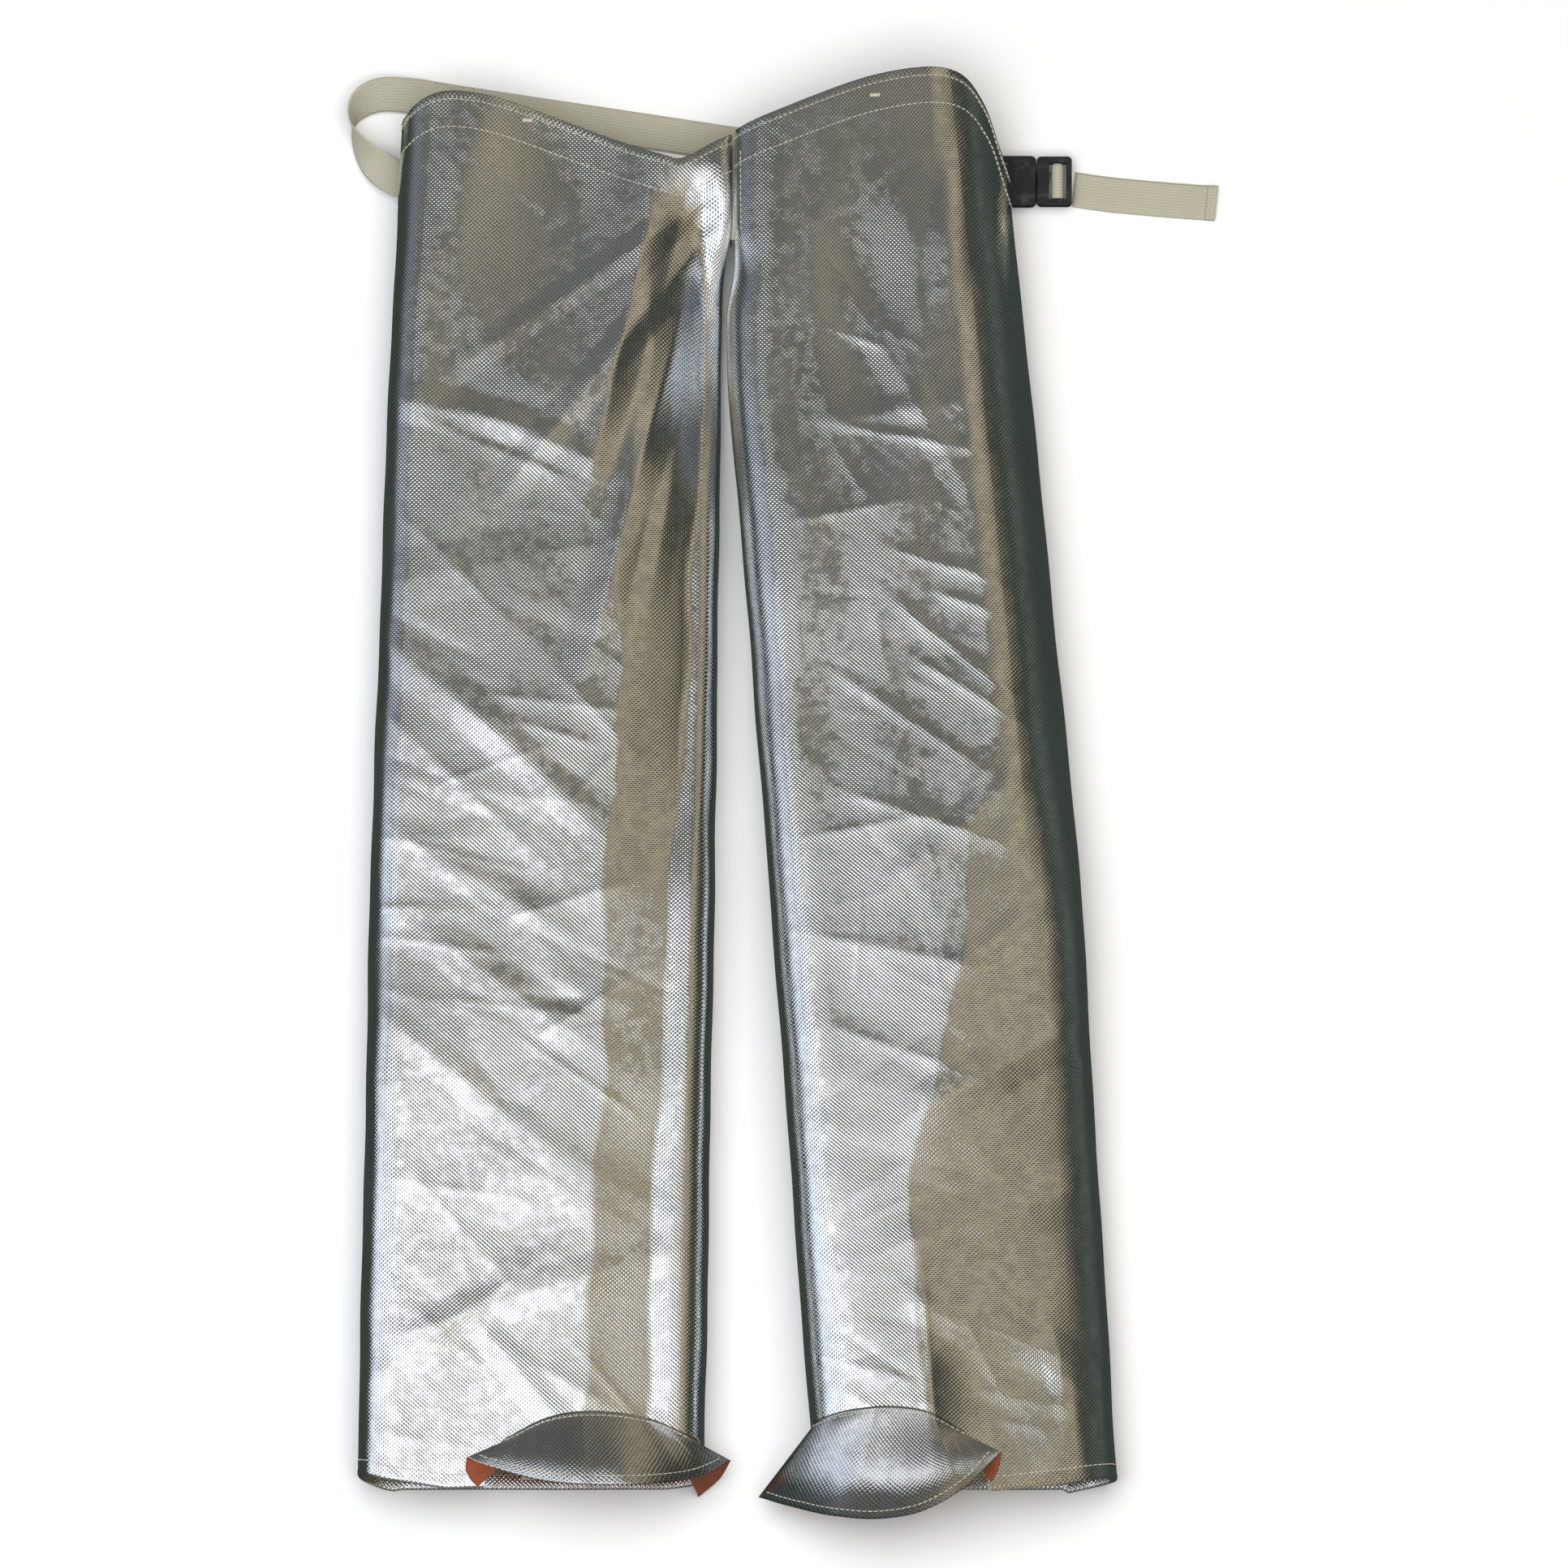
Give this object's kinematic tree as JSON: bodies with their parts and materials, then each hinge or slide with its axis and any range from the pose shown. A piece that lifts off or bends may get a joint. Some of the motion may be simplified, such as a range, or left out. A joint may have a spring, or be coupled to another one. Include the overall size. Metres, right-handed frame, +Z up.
{
  "type": "heat-resistant leg chaps",
  "caption": "Pair of aluminised heat-resistant leg chaps with flared foot covers, a cased webbing waist belt, side-release buckle and free belt tail, lying flat.",
  "frame": {"origin": "middle of the garment's box, on the surface it lies on", "axes": "+X to the viewer's right across the two legs, +Y from the hems to the waist, +Z up off the surface"},
  "size_m": [0.622, 1.0624, 0.0821],
  "materials": {
    "aluminised_cloth": "bright metallised film on coarse woven cloth",
    "cloth_back": "yellowish-cream woven cloth",
    "flare_lining": "reddish-brown lining cloth",
    "belt_webbing": "cream flat webbing",
    "sewing_thread": "cream sewing thread",
    "buckle_plastic": "black moulded, satin"
  },
  "bodies": {
    "root": {"left_waist_panel": "aluminised_cloth", "right_waist_panel": "aluminised_cloth", "left_casing_facing": "aluminised_cloth", "right_casing_facing": "aluminised_cloth", "left_casing_webbing": "belt_webbing", "right_casing_webbing": "belt_webbing", "rise_seam_allowance": "cloth_back", "crotch_bartack": "sewing_thread", "casing_bartacks": "sewing_thread", "belt_hip_loop": "belt_webbing", "belt_back_run": "belt_webbing", "belt_socket_end": "belt_webbing", "buckle_socket": "buckle_plastic"},
    "left_thigh": {"left_thigh_panel": "aluminised_cloth", "left_thigh_back_seam": "cloth_back"},
    "left_shin": {"left_shin_panel": "aluminised_cloth", "left_shin_back_seam": "cloth_back", "left_hem_facing": "aluminised_cloth"},
    "left_flare": {"left_flare_shell": "aluminised_cloth", "left_flare_lining": "flare_lining"},
    "right_thigh": {"right_thigh_panel": "aluminised_cloth", "right_thigh_back_seam": "cloth_back"},
    "right_shin": {"right_shin_panel": "aluminised_cloth", "right_shin_back_seam": "cloth_back", "right_hem_facing": "aluminised_cloth"},
    "right_flare": {"right_flare_shell": "aluminised_cloth", "right_flare_lining": "flare_lining"},
    "buckle_plug": {"buckle_plug": "buckle_plastic", "belt_bar_wrap": "belt_webbing"},
    "buckle_arm_front": {"buckle_arm_front": "buckle_plastic"},
    "buckle_arm_rear": {"buckle_arm_rear": "buckle_plastic"},
    "belt_tail": {"belt_tail": "belt_webbing", "belt_tail_hem": "belt_webbing"}
  },
  "joints": [
    {"name": "left_leg_splay", "type": "hinge", "parent": "root", "child": "left_thigh", "pos_m": [-0.16468, 0.30718, 0.026], "axis": [0, 0, 1], "range_deg": [-6, 0]},
    {"name": "left_knee_fold", "type": "hinge", "parent": "left_thigh", "child": "left_shin", "pos_m": [-0.17308, -0.05282, 0.053], "axis": [1, 0, 0], "range_deg": [-150, 0]},
    {"name": "left_flare_lift", "type": "hinge", "parent": "left_shin", "child": "left_flare", "pos_m": [-0.13468, -0.45142, 0.0532], "axis": [1, 0, 0], "range_deg": [-90, 0]},
    {"name": "right_leg_splay", "type": "hinge", "parent": "root", "child": "right_thigh", "pos_m": [0.06732, 0.30718, 0.026], "axis": [0, 0, 1], "range_deg": [0, 6]},
    {"name": "right_knee_fold", "type": "hinge", "parent": "right_thigh", "child": "right_shin", "pos_m": [0.09922, -0.05282, 0.071], "axis": [1, 0, 0], "range_deg": [-150, 0]},
    {"name": "right_flare_lift", "type": "hinge", "parent": "right_shin", "child": "right_flare", "pos_m": [0.07332, -0.45142, 0.0714], "axis": [1, 0, 0], "range_deg": [-90, 0]},
    {"name": "buckle_release", "type": "slide", "parent": "root", "child": "buckle_plug", "axis": [1, 0, 0], "range_m": [0, 0.028], "deforming": ["buckle_arm_front", "buckle_arm_rear"]},
    {"name": "buckle_arm_rear_squeeze", "type": "hinge", "parent": "buckle_plug", "child": "buckle_arm_rear", "pos_m": [0.18042, 0.46278, 0.0074], "axis": [0, 0, 1], "range_deg": [0, 13], "stiffness_Nm_per_rad": 0.05},
    {"name": "buckle_arm_front_squeeze", "type": "hinge", "parent": "buckle_plug", "child": "buckle_arm_front", "pos_m": [0.18042, 0.43958, 0.0074], "axis": [0, 0, 1], "range_deg": [-13, 0], "stiffness_Nm_per_rad": 0.05},
    {"name": "belt_tail_lift", "type": "hinge", "parent": "buckle_plug", "child": "belt_tail", "pos_m": [0.20692, 0.44618, 0.0007], "axis": [0, 1, 0], "range_deg": [-85, 0]}
  ],
  "couplings": [
    {"joint": "buckle_arm_front_squeeze", "follows": "buckle_arm_rear_squeeze", "ratio": -1}
  ]
}
